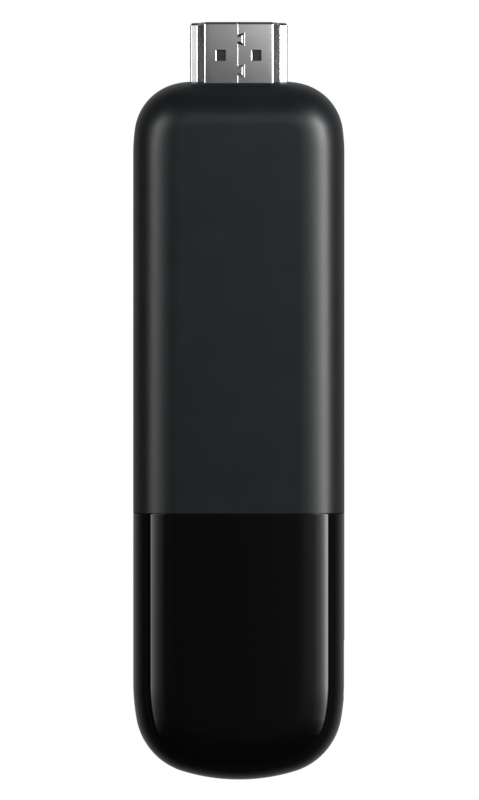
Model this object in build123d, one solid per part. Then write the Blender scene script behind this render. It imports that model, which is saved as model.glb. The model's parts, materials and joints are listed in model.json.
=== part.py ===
"""A streaming media player stick: an HDMI plug on a slim, fully rounded body.

The stick stands upright on its long axis. +Z runs along the HDMI plug, the front faces -Y and +X is the
side with the power socket. The origin is the centre of the plug where it leaves the body. All sizes are
in millimetres.
"""
from build123d import *
from math import radians, sin, tan
import os

# ---- Body --------------------------------------------------------------------------------------------
body_width = 30.1
body_thickness = 14.0
body_length = 99.4
edge_radius = 6.6  # the front and back edges are rounded so far that a narrow flat band is left between
wall = 1.4
gloss_zone_top = -61.3  # where the matte front ends and the glossy front begins
groove = 0.10  # the fine gap between the matte and the glossy front
seam = 0.10  # the parting line between the front and the rear shells

# The outline's corners are chains of tangent arcs, each (radius, turn in degrees), from the straight side on.
top_corner = [(25.9, 7.9), (7.65, 66.4), (10.05, 15.7)]
bottom_corner = [(29.1, 10.5), (9.5, 62.5)]
tip_turn = 17.0  # the last arc of the bottom corner, which ends on the body's axis

# ---- Shells ------------------------------------------------------------------------------------------
gloss_wall = 1.0
tape_thickness = 0.15
tray_wall = 0.85
tray_overlap = 3.0  # the tray under the glossy cover reaches this far up under the matte front
lip_clearance = 0.05
lip_height = 1.0
lip_root = 1.5
weld = 0.05  # how far ribs and posts run into the wall that they stand on
hook_places = [-20.0, -45.0, -70.0]
hook_width = 5.0
hook_levels = (0.3, 0.8)  # across the parting line
hook_catch = 0.15
hook_window_margin = 0.2
label_size = (13.0, 48.0)
label_centre_z = -60.0
label_recess = 0.20
label_recess_corner = 1.5
label_margin = 0.1
label_thickness = 0.12
tape_size = (14.4, 27.0)
tape_centre_z = -76.4
tape_corner = 2.0

# ---- HDMI plug, type A -------------------------------------------------------------------------------
plug_width = 13.9
plug_height = 4.45
plug_exposed = 8.4
plug_depth = 7.4  # how far the shell reaches into the body
plug_sheet = 0.30
narrow_half = 4.85  # half the width of the face that looks forward
bend_half = 5.85
steep_angle = 61.0  # tilt of the strip beside the narrow face
shoulder_angle = 32.5  # tilt of the strip beyond it, which reaches the full width
plug_hole_gap = 0.15
plug_bend_radius = 0.45
plug_mouth_chamfer = 0.12
window_size = (1.35, 1.55)
window_x = 2.53
window_z = 3.62
seam_x = -0.18  # the folded sheet's seam runs a little off the plug's axis
seam_groove = 0.08
seam_depth = 0.12
interlock_places = [5.9, 1.4]
interlock_height = 1.42
interlock_root = 0.10
interlock_tip = 0.66
interlock_flare = 0.18
flange_size = (15.8, 6.0, 0.5)
flange_z = -3.05
leg_inner, leg_outer = 6.9, 8.2
leg_narrowing = 0.3
leg_thickness = 0.3
leg_top, leg_step, leg_end = -6.0, -7.4, -10.4
slot_size = (11.2, 1.9)  # of the mouth in the insulator
slot_floor = -0.5
insulator_end = 7.8
contact_pitch = 0.5
contact_count = 19
contact_width = 0.30
contact_inner, contact_outer = 0.75, 1.10  # from the slot's middle plane
contact_back, contact_front = -7.95, 7.2
contact_tail = -9.8
contact_sheet = 0.30
tail_thickness = 0.2
fit_gap = 0.02  # round plastic cores in their metal shells

# ---- USB power socket, micro-B, on the +X side -------------------------------------------------------
usb_z = -83.5
usb_hole = (8.4, 2.9)  # along Z and along Y
usb_hole_corner = 0.8
usb_width = 7.5
usb_height = 2.5
usb_sheet = 0.25
usb_back_x = 8.8
usb_mouth_x = 14.4
usb_corner_cut = 0.8
usb_back_wall = 0.4
usb_contact_count = 5
usb_contact_pitch = 0.65
usb_contact_width = 0.4
usb_contact_levels = (-0.10, 0.05)
usb_contact_end = 13.4
usb_tongue_half = 2.0
usb_tongue_levels = (-0.05, 0.65)
usb_tongue_end = 13.6
usb_block_depth = 1.6
usb_foot_places = [9.3, 11.3]
usb_foot_size = (1.2, 0.3)
usb_foot_reach = 4.9

# ---- Board and heat path -----------------------------------------------------------------------------
board_inset = 2.5
board_thickness = 1.0
board_top = -8.0
post_x = 10.8
post_places = [-14.0, -70.0]
post_radius = 1.0
pin_radius = 0.5
pin_length = 1.0  # beyond the board's back face
pin_clearance = 0.1
processor_z = -38.0
processor_width = 14.0
processor_cap_width = 12.6
processor_base_height = 0.55
chip_height = 0.9
memory_x, memory_z = 4.8, -54.0
memory_size = (8.0, 11.0)
memory_height = 0.8
flash_z = -50.0
flash_size = (11.5, 13.0)
pad_margin = 0.5  # a soft pad is this much smaller than its chip, all round
inductor_width = 2.5
inductor_height = 1.2
inductor_bevel = 0.35
inductor_places = [(1.0, -31.5), (4.2, -31.5), (7.4, -31.5), (1.0, -36.0)]
radio_x, radio_z = -3.0, -71.0
radio_width = 7.0
radio_height = 0.85
radio_shield_size = (11.0, 8.6, 1.5)
crystal_places = [(8.4, -29.5), (7.2, -72.0)]
crystal_size = (2.5, 3.2, 0.7)
crystal_corner = 0.4
small_capacitor = (0.5, 1.0, 0.5)
medium_capacitor = (0.8, 1.6, 0.8)
large_capacitor = (1.25, 2.0, 1.0)
bulk_capacitor = (1.6, 2.0, 1.2)
signal_resistor = (0.5, 1.0, 0.35)
radio_resistor = (0.6, 1.2, 0.4)
can_half_width = 10.2
can_low, can_high = -62.0, -26.0
can_height = 1.3  # of the soldered frame
can_sheet = 0.20
lid_clearance = 0.05
lid_depth = 1.1
lid_outside = 2.1  # from the mid-plane to the outside of a shield's lid
pad_thickness = 1.0
spreader_thickness = 1.5
spreader_half_width = 9.0
spreader_low, spreader_high = -80.0, -12.0
spreader_corner = 3.0
spreader_pad_size = (17.0, 30.0)
spreader_pad_z = -44.0
spreader_pad_corner = 1.0
rib_places = [-20.0, -45.0, -72.0]
rib_thickness = 0.8
rib_half_width = 7.5
flange_rib_half_width = 9.0

# ---- Antennas ----------------------------------------------------------------------------------------
antenna_z = -90.0
antenna_sheet = 0.2
antenna_low, antenna_high = -8.0, 3.0
antenna_height = 3.0
antenna_arm_width = 1.0
antenna_leg_width = 1.2
antenna_feed_offset = 2.6
antenna_feed_width = 0.6
antenna_foot_length = 1.0

# ---- Worked out from the above -----------------------------------------------------------------------
half_width = body_width / 2
half_thickness = body_thickness / 2
half_board = board_thickness / 2
tray_inset = gloss_wall + tape_thickness
deep_inset = tray_inset + tray_wall
window_depth = deep_inset + 2 * hook_catch  # of the snap windows, from the body's side
lid_inside = lid_outside - can_sheet
spreader_inside = lid_outside + pad_thickness
spreader_outside = spreader_inside + spreader_thickness


# ---- Helpers -----------------------------------------------------------------------------------------
def box(low, high):
    """A box between two opposite corners."""
    low, high = Vector(*low), Vector(*high)
    size = high - low
    middle = (low + high) * 0.5
    return Pos(middle.X, middle.Y, middle.Z) * Box(size.X, size.Y, size.Z)


def on_board(x, z, width, length, height, side):
    """A block of the given height on the board's front (side -1) or back (side 1) face."""
    near, far = side * half_board, side * (half_board + height)
    low = (x - width / 2, min(near, far), z - length / 2)
    high = (x + width / 2, max(near, far), z + length / 2)
    return box(low, high)


def group(solids):
    """Separate solids that make one node."""
    return Compound(children=list(solids))


def both_sides(place):
    """The two mirrored places, left and right of the body's axis."""
    return [(sign * post_x, z) for sign in (-1, 1) for z in place]


def plate(width, length, centre_z, y_low, y_high, corner):
    """A plate parallel to the front face, with rounded corners."""
    face = Plane.XZ.offset(-y_low) * Pos(0, centre_z) * RectangleRounded(width, length, corner)
    return extrude(face, y_low - y_high)


# ---- The body's outline and its rounded shape --------------------------------------------------------
def arc_chain(start, heading, arcs, inset):
    """Tangent arcs that turn left one after another, moved in by the inset."""
    chain = []
    for radius, turn in arcs:
        arc = JernArc(start, heading, radius - inset, turn)
        chain.append(arc)
        start, heading = arc @ 1, arc % 1
    return chain


def tip_radius():
    """The radius of the arc at the tip that brings the corner out to the body's full width."""
    reach, turned = 0.0, tip_turn
    for radius, turn in reversed(bottom_corner):
        reach += radius * (sin(radians(turned + turn)) - sin(radians(turned)))
        turned += turn
    return (half_width - reach) / sin(radians(tip_turn))


def body_outline(inset):
    """The outline seen from the front, moved in all round by the inset."""
    low_arcs = [(tip_radius(), tip_turn)] + list(reversed(bottom_corner))
    bottom = arc_chain(Vector(0, inset - body_length), Vector(1, 0), low_arcs, inset)
    turned, depth = 0.0, 0.0
    for radius, turn in top_corner:
        depth += radius * (sin(radians(turned + turn)) - sin(radians(turned)))
        turned += turn
    side = Line(bottom[-1] @ 1, (half_width - inset, -depth))
    top = arc_chain(side @ 1, Vector(0, 1), top_corner, inset)
    top_edge = Line(top[-1] @ 1, (0, -inset))
    right = Curve() + bottom + [side] + top + [top_edge]
    return make_face(right + mirror(right, Plane.YZ))


def body_shape(inset):
    """The whole rounded body, moved in all round by the inset."""
    shape = extrude(Plane.XZ * body_outline(inset), half_thickness - inset, both=True)
    faces = shape.faces().sort_by(Axis.Y)
    rims = faces[0].edges() + faces[-1].edges()
    return fillet(rims, edge_radius - inset)


def half_space(y_low=-20.0, y_high=20.0, z_low=-120.0, z_high=20.0):
    """A box wider than the body that keeps what lies between the given planes."""
    return box((-30.0, y_low, z_low), (30.0, y_high, z_high))


outside = body_shape(0)
cavity = body_shape(wall)
welded_cavity = body_shape(wall - weld)
tray_outside = body_shape(tray_inset)
deep_cavity = body_shape(deep_inset)


def plug_opening():
    """The hole in the top end that the plug comes out of, with the plug's own shape."""
    return extrude(Pos(0, 0, -6.0) * plug_section(-plug_hole_gap), 7.0)


def usb_opening():
    """The hole in the side that the power plug goes into."""
    length, height = usb_hole
    face = Plane.YZ.offset(usb_back_x) * Pos(0, usb_z) * RectangleRounded(height, length, usb_hole_corner)
    return extrude(face, 10.0)


def hook_boxes(width, depth_in, y_low, y_high):
    """Boxes at the snap hooks, on both side walls."""
    inner, outer = half_width - depth_in, half_width - wall + weld
    boxes = []
    for z in hook_places:
        for sign in (-1, 1):
            low_x, high_x = sorted((sign * inner, sign * outer))
            boxes.append(box((low_x, y_low, z - width / 2), (high_x, y_high, z + width / 2)))
    return boxes


def cover_ribs(side):
    """The ribs of one half: two that hold the plug's flange, and three that hold the heat spreader."""
    flange_half = flange_size[2] / 2 + weld
    across = flange_rib_half_width
    near, far = sorted((side * seam / 2, side * half_thickness))
    ribs = [
        box((-across, near, flange_z + flange_half), (across, far, -wall + weld)),
        box((-across, near, flange_z - flange_half - rib_thickness), (across, far, flange_z - flange_half)),
    ]
    near, far = sorted((side * spreader_outside, side * half_thickness))
    for z in rib_places:
        low = (-rib_half_width, near, z - rib_thickness / 2)
        ribs.append(box(low, (rib_half_width, far, z + rib_thickness / 2)))
    return [rib & welded_cavity for rib in ribs]


def post(x, z, radius, y_low, y_high):
    """A round post that stands between two planes parallel to the front."""
    length = y_high - y_low
    return Pos(x, y_low + length / 2, z) * Rot(90, 0, 0) * Cylinder(radius, length)


# ---- Shells ------------------------------------------------------------------------------------------
def front_cover():
    """Matte front half, with a tray under the glossy cover and a lip that fits inside the rear half."""
    upper_zone = half_space(y_high=-seam / 2, z_low=gloss_zone_top + groove / 2)
    tray_zone = half_space(y_high=-seam / 2, z_high=gloss_zone_top + tray_overlap)
    shell = (outside - cavity) & upper_zone
    tray = (tray_outside - deep_cavity) & tray_zone
    root = (welded_cavity - deep_cavity) & half_space(y_low=-lip_root, y_high=0.0)
    lip = (body_shape(wall + lip_clearance) - deep_cavity) & half_space(y_low=-lip_root, y_high=lip_height)
    cover = shell + tray + root + lip
    for rib in cover_ribs(-1):
        cover += rib
    for x, z in both_sides(post_places):
        cover += post(x, z, post_radius, -half_thickness, -half_board) & welded_cavity
        cover += post(x, z, pin_radius, -half_board - weld, half_board + pin_length)
    hook_low, hook_high = hook_levels
    margin = hook_window_margin / 2
    window_width = hook_width + 2 * hook_window_margin
    for window in hook_boxes(window_width, window_depth, hook_low - margin, hook_high + margin):
        cover -= window
    return cover - plug_opening() - usb_opening()


def gloss_cover():
    """Glossy cap that lies on the lower front and wraps round its edges to the parting line."""
    zone = half_space(y_high=-seam / 2, z_high=gloss_zone_top - groove / 2)
    return ((outside - body_shape(gloss_wall)) & zone) - usb_opening()


def gloss_cover_tape():
    """Adhesive sheet between the tray and the glossy cap."""
    y_high = tray_inset - half_thickness
    return plate(*tape_size, tape_centre_z, y_high - tape_thickness, y_high, tape_corner)


def rear_cover():
    """Matte rear half, with snap hooks and a recess for the label."""
    cover = (outside - cavity) & half_space(y_low=seam / 2)
    for rib in cover_ribs(1):
        cover += rib
    for x, z in both_sides(post_places):
        column = post(x, z, post_radius, half_board, half_thickness) & welded_cavity
        socket_end = half_board + pin_length + 2 * pin_clearance
        cover += column - post(x, z, pin_radius + pin_clearance, half_board, socket_end)
    lip_room = cavity - body_shape(deep_inset + lip_clearance)
    cover -= lip_room & half_space(y_low=0.0, y_high=lip_height + lip_clearance)
    for hook in hook_boxes(hook_width, deep_inset - hook_catch, *hook_levels):
        cover += hook
    recess_floor = half_thickness - label_recess
    recess_top = half_thickness + 1.0
    cover -= plate(*label_size, label_centre_z, recess_floor, recess_top, label_recess_corner)
    return cover - plug_opening() - usb_opening()


def rating_label():
    """Blank label in the recess on the back."""
    floor = half_thickness - label_recess
    width, length = (size - 2 * label_margin for size in label_size)
    corner = label_recess_corner - label_margin
    return plate(width, length, label_centre_z, floor, floor + label_thickness, corner)


# ---- HDMI plug ---------------------------------------------------------------------------------------
def plug_outline():
    """The plug's D-shaped section, with its narrow face forward."""
    front = -plug_height / 2
    bend_y = front + (bend_half - narrow_half) * tan(radians(steep_angle))
    shoulder_y = bend_y + (plug_width / 2 - bend_half) * tan(radians(shoulder_angle))
    right = [(narrow_half, front), (bend_half, bend_y), (plug_width / 2, shoulder_y)]
    right.append((plug_width / 2, plug_height / 2))
    left = [(-x, y) for x, y in reversed(right)]
    return make_face(Polyline(*right, *left, close=True))


def plug_section(inset):
    """The plug's section moved in by the inset, or out where it is negative, with its bends rounded."""
    section = plug_outline()
    if inset != 0:
        section = offset(section, -inset, kind=Kind.INTERSECTION)
    return fillet(section.vertices(), plug_bend_radius - inset)


def interlock():
    """One dovetail that locks the plug's folded sheet together."""
    half = interlock_height / 2
    points = [
        (interlock_root, -half + interlock_flare),
        (interlock_tip, -half),
        (interlock_tip, half),
        (interlock_root, half - interlock_flare),
    ]
    return make_face(Polyline(*points, close=True))


def seam_line():
    """The folded sheet's seam, drawn on the plug's front face."""
    line = Pos(seam_x, plug_exposed / 2) * Rectangle(seam_groove, plug_exposed)
    gap = interlock_height - 2 * interlock_flare
    neck = Rectangle(interlock_root - seam_x, seam_groove)
    for z in interlock_places:
        line -= Pos(seam_x, z) * Rectangle(2 * seam_groove, gap)
        for sign in (-1, 1):
            line += Pos((seam_x + interlock_root) / 2, z + sign * gap / 2) * neck
        grown = offset(interlock(), seam_groove / 2, kind=Kind.INTERSECTION)
        line += Pos(0, z) * (grown - offset(interlock(), -seam_groove / 2, kind=Kind.INTERSECTION))
    return line


def hdmi_shell():
    """Folded metal shell with its seam, latch windows, flange and two solder legs."""
    length = plug_depth + plug_exposed
    tube = extrude(Pos(0, 0, -plug_depth) * plug_section(0), length)
    mouth = tube.faces().sort_by(Axis.Z)[-1].edges()
    tube = chamfer(mouth, plug_mouth_chamfer)
    width, height, thickness = flange_size
    tube += Pos(0, 0, flange_z) * Box(width, height, thickness)
    for sign in (-1, 1):
        low, high = sorted((sign * leg_inner, sign * leg_outer))
        leg_back = half_board + leg_thickness
        tube += box((low, half_board, leg_step), (high, leg_back, leg_top))
        tube += box((low + leg_narrowing, half_board, leg_end), (high - leg_narrowing, leg_back, leg_step))
    tube -= extrude(Pos(0, 0, -plug_depth - 1) * plug_section(plug_sheet), length + 2)
    window_width, window_height = window_size
    for x in (-window_x, window_x):
        tube -= Pos(x, 0, window_z) * Box(window_width, plug_height + 1, window_height)
    groove_face = Plane.XZ.offset(plug_height / 2) * seam_line()
    return tube - extrude(groove_face, -seam_depth)


def contact_x(number):
    """Where a contact stands across the plug."""
    return (number - (contact_count - 1) / 2) * contact_pitch


def hdmi_contact(number):
    """One contact: it lies in the mouth's slot and ends as a tail on the board."""
    side = -1 if number % 2 == 0 else 1
    x = contact_x(number)
    half = contact_width / 2
    spans = [
        ((contact_inner, contact_outer), (contact_back, contact_front)),
        ((half_board, contact_outer), (contact_back, contact_back + contact_sheet)),
        ((half_board, half_board + tail_thickness), (contact_tail, contact_back + contact_sheet)),
    ]
    strip = None
    for (near, far), (z_low, z_high) in spans:
        y_low, y_high = sorted((side * near, side * far))
        piece = box((x - half, y_low, z_low), (x + half, y_high, z_high))
        strip = piece if strip is None else strip + piece
    return strip


def hdmi_contacts():
    """The nineteen contacts, alternately on the front and the back of the slot."""
    return group(hdmi_contact(number) for number in range(contact_count))


def hdmi_insulator():
    """Plastic core that fills the shell, with the slot for the socket's tongue."""
    start = -plug_depth - 0.2
    core = extrude(Pos(0, 0, start) * plug_section(plug_sheet + fit_gap), insulator_end - start)
    slot_width, slot_height = slot_size
    slot_length = plug_exposed - slot_floor
    core -= Pos(0, 0, slot_floor + slot_length / 2) * Box(slot_width, slot_height, slot_length)
    for number in range(contact_count):
        core -= hdmi_contact(number)
    return core


# ---- USB power socket --------------------------------------------------------------------------------
def usb_section(inset):
    """The socket's section with two cut corners, drawn across the body (Y) and along it (Z)."""
    half_y, half_z = usb_height / 2 - inset, usb_width / 2 - inset
    cut = usb_corner_cut
    points = [(-half_y, half_z - cut), (-half_y, cut - half_z), (cut - half_y, -half_z)]
    points += [(half_y, -half_z), (half_y, half_z), (cut - half_y, half_z)]
    section = make_face(Polyline(*points, close=True))
    return fillet(section.vertices(), plug_bend_radius - inset)


def usb_block(inset, x_low, x_high):
    """A length of the socket's section."""
    face = Plane.YZ.offset(x_low) * Pos(0, usb_z) * usb_section(inset)
    return extrude(face, x_high - x_low)


def usb_shell():
    """Metal shell of the socket, closed at its back, with four feet on the board."""
    hollow = usb_block(usb_sheet, usb_back_x + usb_back_wall, half_width)
    shell = usb_block(0, usb_back_x, usb_mouth_x) - hollow
    foot_width, foot_thickness = usb_foot_size
    for side in (-1, 1):
        for x in usb_foot_places:
            low_z, high_z = sorted((usb_z + side * (usb_width / 2 - 0.1), usb_z + side * usb_foot_reach))
            shell += box((x, half_board, low_z), (x + foot_width, half_board + foot_thickness, high_z))
    return shell


def usb_contacts():
    """Five contact strips on the tongue."""
    strips = []
    y_low, y_high = usb_contact_levels
    half = usb_contact_width / 2
    for number in range(usb_contact_count):
        z = usb_z + (number - (usb_contact_count - 1) / 2) * usb_contact_pitch
        strips.append(box((usb_back_x + 0.5, y_low, z - half), (usb_contact_end, y_high, z + half)))
    return group(strips)


def usb_insulator():
    """Plastic block and tongue of the socket."""
    block_end = usb_back_x + usb_block_depth
    block = usb_block(usb_sheet + fit_gap, usb_back_x + usb_back_wall + weld, block_end)
    y_low, y_high = usb_tongue_levels
    near, far = usb_z - usb_tongue_half, usb_z + usb_tongue_half
    tongue = box((block_end - 0.1, y_low, near), (usb_tongue_end, y_high, far))
    return block + tongue - usb_contacts()


# ---- Board and what is on it -------------------------------------------------------------------------
def main_board():
    """Printed circuit board, notched for the power socket and drilled for the locating pins."""
    board = extrude(Plane.XZ * body_outline(board_inset), half_board, both=True)
    board &= half_space(z_high=board_top)
    notch_half = usb_width / 2 + 0.15
    board -= box((usb_back_x - 0.2, -1.0, usb_z - notch_half), (20.0, 1.0, usb_z + notch_half))
    for x, z in both_sides(post_places):
        board -= post(x, z, pin_radius + pin_clearance, -board_thickness, board_thickness)
    return board


def processor():
    """Main processor package with its lid."""
    base = on_board(0, processor_z, processor_width, processor_width, processor_base_height, -1)
    cap = on_board(0, processor_z, processor_cap_width, processor_cap_width, chip_height, -1)
    return base + cap


def memory_chips():
    """Two working-memory packages."""
    return group(on_board(x, memory_z, *memory_size, memory_height, -1) for x in (-memory_x, memory_x))


def flash_chip():
    """Storage package on the back of the board."""
    return on_board(0, flash_z, *flash_size, memory_height, 1)


def power_chip():
    """Power management package on the back of the board."""
    return on_board(-5.0, -34, 6.0, 6.0, 0.75, 1)


def power_inductors():
    """Power inductors: square blocks with bevelled corners."""
    coils = []
    for x, z in inductor_places:
        coil = on_board(x, z, inductor_width, inductor_width, inductor_height, 1)
        coils.append(chamfer(coil.edges().filter_by(Axis.Y), inductor_bevel))
    return group(coils)


def wifi_chip():
    """Radio package on the front, under its own small shield."""
    return on_board(radio_x, radio_z, radio_width, radio_width, radio_height, -1)


def wifi_shield():
    """One-piece shield over the radio."""
    width, length, height = radio_shield_size
    can = on_board(radio_x, radio_z, width, length, height, -1)
    width, length, height = width - 2 * can_sheet, length - 2 * can_sheet, height - can_sheet
    return can - on_board(radio_x, radio_z, width, length, height, -1)


def crystals():
    """Two metal-cased crystals."""
    cases = []
    for x, z in crystal_places:
        case = on_board(x, z, *crystal_size, -1)
        cases.append(fillet(case.edges().filter_by(Axis.Y), crystal_corner))
    return group(cases)


def chip_row(start, step, count, size, side):
    """A row of small two-ended parts."""
    width, length, height = size
    row = []
    for number in range(count):
        x = start[0] + number * step[0]
        z = start[1] + number * step[1]
        row.append(on_board(x, z, width, length, height, side))
    return row


def capacitors():
    """Ceramic capacitors beside the chips and the power socket."""
    parts = chip_row((-8.6, -32.0), (0, -2.0), 7, medium_capacitor, -1)
    parts += chip_row((8.6, -34.0), (0, -2.0), 6, medium_capacitor, -1)
    parts += chip_row((-8.0, -43.5), (0, -2.6), 5, large_capacitor, 1)
    parts += chip_row((8.0, -43.5), (0, -2.6), 5, large_capacitor, 1)
    parts += chip_row((5.6, -78.0), (0, -2.6), 3, bulk_capacitor, -1)
    parts += chip_row((-6.0, -14.0), (2.0, 0), 7, small_capacitor, -1)
    return group(parts)


def resistors():
    """Chip resistors on the signal lines to the plug and near the radio."""
    parts = chip_row((-7.0, -17.5), (1.0, 0), 15, signal_resistor, -1)
    parts += chip_row((-7.0, -17.5), (1.0, 0), 15, signal_resistor, 1)
    parts += chip_row((-8.0, -81.0), (1.2, 0), 8, radio_resistor, -1)
    return group(parts)


def shield_frame(side):
    """Soldered wall ring of a shield."""
    length, middle = can_high - can_low, (can_high + can_low) / 2
    ring = on_board(0, middle, 2 * can_half_width, length, can_height, side)
    hollow = 2 * (can_half_width - can_sheet)
    return ring - on_board(0, middle, hollow, length - 2 * can_sheet, can_height + 1, side)


def shield_lid(side):
    """Lid that snaps over the wall ring."""
    length, middle = can_high - can_low, (can_high + can_low) / 2
    grow = 2 * (lid_clearance + can_sheet)
    height = lid_outside - half_board
    lid = on_board(0, middle, 2 * can_half_width + grow, length + grow, height, side)
    lid -= on_board(0, middle, 2 * body_width, 2 * length, height - lid_depth, side)
    gap = 2 * lid_clearance
    return lid - on_board(0, middle, 2 * can_half_width + gap, length + gap, lid_inside - half_board, side)


def lid_pad(x, z, width, length, chip, side):
    """Soft pad between a chip and the shield's lid."""
    y_low, y_high = sorted((side * (half_board + chip), side * lid_inside))
    return box((x - width / 2, y_low, z - length / 2), (x + width / 2, y_high, z + length / 2))


def chip_thermal_pads():
    """Soft pads on the processor and on the memory."""
    processor_pad = processor_cap_width - 2 * pad_margin
    width, length = (size - 2 * pad_margin for size in memory_size)
    pads = [lid_pad(0, processor_z, processor_pad, processor_pad, chip_height, -1)]
    pads += [lid_pad(x, memory_z, width, length, memory_height, -1) for x in (-memory_x, memory_x)]
    return group(pads)


def flash_thermal_pad():
    """Soft pad on the storage package."""
    width, length = (size - 2 * pad_margin for size in flash_size)
    return lid_pad(0, flash_z, width, length, memory_height, 1)


def lid_thermal_pad(side):
    """Soft pad between a shield's lid and its heat spreader."""
    y_low, y_high = sorted((side * lid_outside, side * spreader_inside))
    return plate(*spreader_pad_size, spreader_pad_z, y_low, y_high, spreader_pad_corner)


def heat_spreader(side):
    """Aluminium plate that spreads the heat along one half."""
    y_low, y_high = sorted((side * spreader_inside, side * spreader_outside))
    middle = (spreader_low + spreader_high) / 2
    length = spreader_high - spreader_low
    return plate(2 * spreader_half_width, length, middle, y_low, y_high, spreader_corner)


def antenna(side):
    """Stamped sheet antenna: a foot on the board, an upright, a feed strip and a long arm."""
    top = half_board + antenna_height
    half_sheet = antenna_sheet / 2

    def strip(x_low, x_high, near, far, z_high=half_sheet):
        y_low, y_high = sorted((side * near, side * far))
        return box((x_low, y_low, antenna_z - half_sheet), (x_high, y_high, antenna_z + z_high))

    leg_end = antenna_low + antenna_leg_width
    feed_low = antenna_low + antenna_feed_offset
    upright = strip(antenna_low, leg_end, half_board, top)
    feed = strip(feed_low, feed_low + antenna_feed_width, half_board, top)
    arm = strip(antenna_low, antenna_high, top - antenna_arm_width, top)
    foot = strip(antenna_low, leg_end, half_board, half_board + antenna_sheet, antenna_foot_length)
    return upright + feed + arm + foot


parts = {
    "front_cover": front_cover(),
    "gloss_cover": gloss_cover(),
    "gloss_cover_tape": gloss_cover_tape(),
    "rear_cover": rear_cover(),
    "rating_label": rating_label(),
    "hdmi_shell": hdmi_shell(),
    "hdmi_insulator": hdmi_insulator(),
    "hdmi_contacts": hdmi_contacts(),
    "usb_shell": usb_shell(),
    "usb_insulator": usb_insulator(),
    "usb_contacts": usb_contacts(),
    "main_board": main_board(),
    "processor": processor(),
    "memory_chips": memory_chips(),
    "flash_chip": flash_chip(),
    "power_chip": power_chip(),
    "power_inductors": power_inductors(),
    "wifi_chip": wifi_chip(),
    "wifi_shield": wifi_shield(),
    "crystals": crystals(),
    "capacitors": capacitors(),
    "resistors": resistors(),
    "front_shield_frame": shield_frame(-1),
    "front_shield_lid": shield_lid(-1),
    "rear_shield_frame": shield_frame(1),
    "rear_shield_lid": shield_lid(1),
    "chip_thermal_pads": chip_thermal_pads(),
    "flash_thermal_pad": flash_thermal_pad(),
    "front_thermal_pad": lid_thermal_pad(-1),
    "rear_thermal_pad": lid_thermal_pad(1),
    "front_heat_spreader": heat_spreader(-1),
    "rear_heat_spreader": heat_spreader(1),
    "antenna_main": antenna(-1),
    "antenna_second": antenna(1),
}

os.makedirs("parts", exist_ok=True)
for name, shape in parts.items():
    export_step(shape, f"parts/{name}.step")
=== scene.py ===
"""Looks for the streaming media player stick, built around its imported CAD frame.

Lengths are in metres. The front faces -Y, +Z runs along the HDMI plug and +X is the power socket's side.
"""
import json
import math

import bmesh
import bpy
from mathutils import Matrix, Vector


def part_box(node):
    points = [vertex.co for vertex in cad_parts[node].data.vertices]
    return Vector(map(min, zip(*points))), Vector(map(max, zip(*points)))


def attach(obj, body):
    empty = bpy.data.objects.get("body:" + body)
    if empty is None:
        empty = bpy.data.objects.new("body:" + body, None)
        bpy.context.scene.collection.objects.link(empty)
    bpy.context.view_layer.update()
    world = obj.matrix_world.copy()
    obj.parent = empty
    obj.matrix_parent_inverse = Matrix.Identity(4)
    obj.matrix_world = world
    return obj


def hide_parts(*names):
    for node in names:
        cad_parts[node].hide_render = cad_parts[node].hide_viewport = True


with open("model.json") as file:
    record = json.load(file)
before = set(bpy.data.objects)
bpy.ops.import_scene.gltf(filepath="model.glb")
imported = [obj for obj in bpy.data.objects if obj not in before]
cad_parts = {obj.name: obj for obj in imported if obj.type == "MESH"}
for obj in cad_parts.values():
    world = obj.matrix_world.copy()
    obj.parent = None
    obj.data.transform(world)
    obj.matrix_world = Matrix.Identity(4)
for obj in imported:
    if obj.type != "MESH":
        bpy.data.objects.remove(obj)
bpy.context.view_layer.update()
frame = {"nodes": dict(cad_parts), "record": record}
MM = 0.001
MICRON = 0.000001

# ---- Driving sizes, from the frame's boxes -------------------------------------------------------
rear_low, rear_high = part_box("rear_cover")
HALF_WIDTH = rear_high[0]
HALF_THICKNESS = rear_high[1]
BODY_BOTTOM = rear_low[2]
BODY_TOP = 0.0  # the frame's origin is where the plug leaves the body
HALF_SEAM = rear_low[1]  # half the gap that the frame leaves between the two halves
GLOSS_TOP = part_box("gloss_cover")[1][2]
GROOVE = 0.10 * MM  # between the matte and the glossy cover
EDGE_RADIUS = 6.6 * MM  # of the body's rounded edge, in its section
WALL = 1.4 * MM  # of the matte covers
GLOSS_WALL = 1.0 * MM
TRAY_INSET = 1.15 * MM  # from the outer skin
TRAY_WALL = 0.85 * MM
TRAY_OVERLAP = 3.0 * MM  # how far the tray runs up under the matte cover
LIP_CLEARANCE = 0.05 * MM
LIP_HEIGHT = 1.0 * MM  # behind the middle plane
LIP_ROOT = 1.5 * MM  # in front of it
LIP_WALL = 0.5 * MM
LIP_WELD = 0.1 * MM  # how far the lip's root runs into the cover's wall
EDGE_ROUNDING = 0.14 * MM  # of the covers' edges at the parting line
MATING_GAP = 0.002 * MM  # from the middle plane to each cover's mating face
GROOVE_ROUNDING = 0.03 * MM
PLUG_CLEARANCE = 0.15 * MM
PLUG_HOLE_DEPTH = 6.0 * MM
SOCKET_HOLE = (2.9 * MM, 8.4 * MM)
SOCKET_HOLE_RADIUS = 0.8 * MM
SOCKET_HOLE_DEPTH = 5.0 * MM
LABEL_CLEARANCE = 0.2 * MM
LABEL_RADIUS = 1.5 * MM
SPARE = 1 * MM  # how far a cutter stands out of what it cuts

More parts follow.
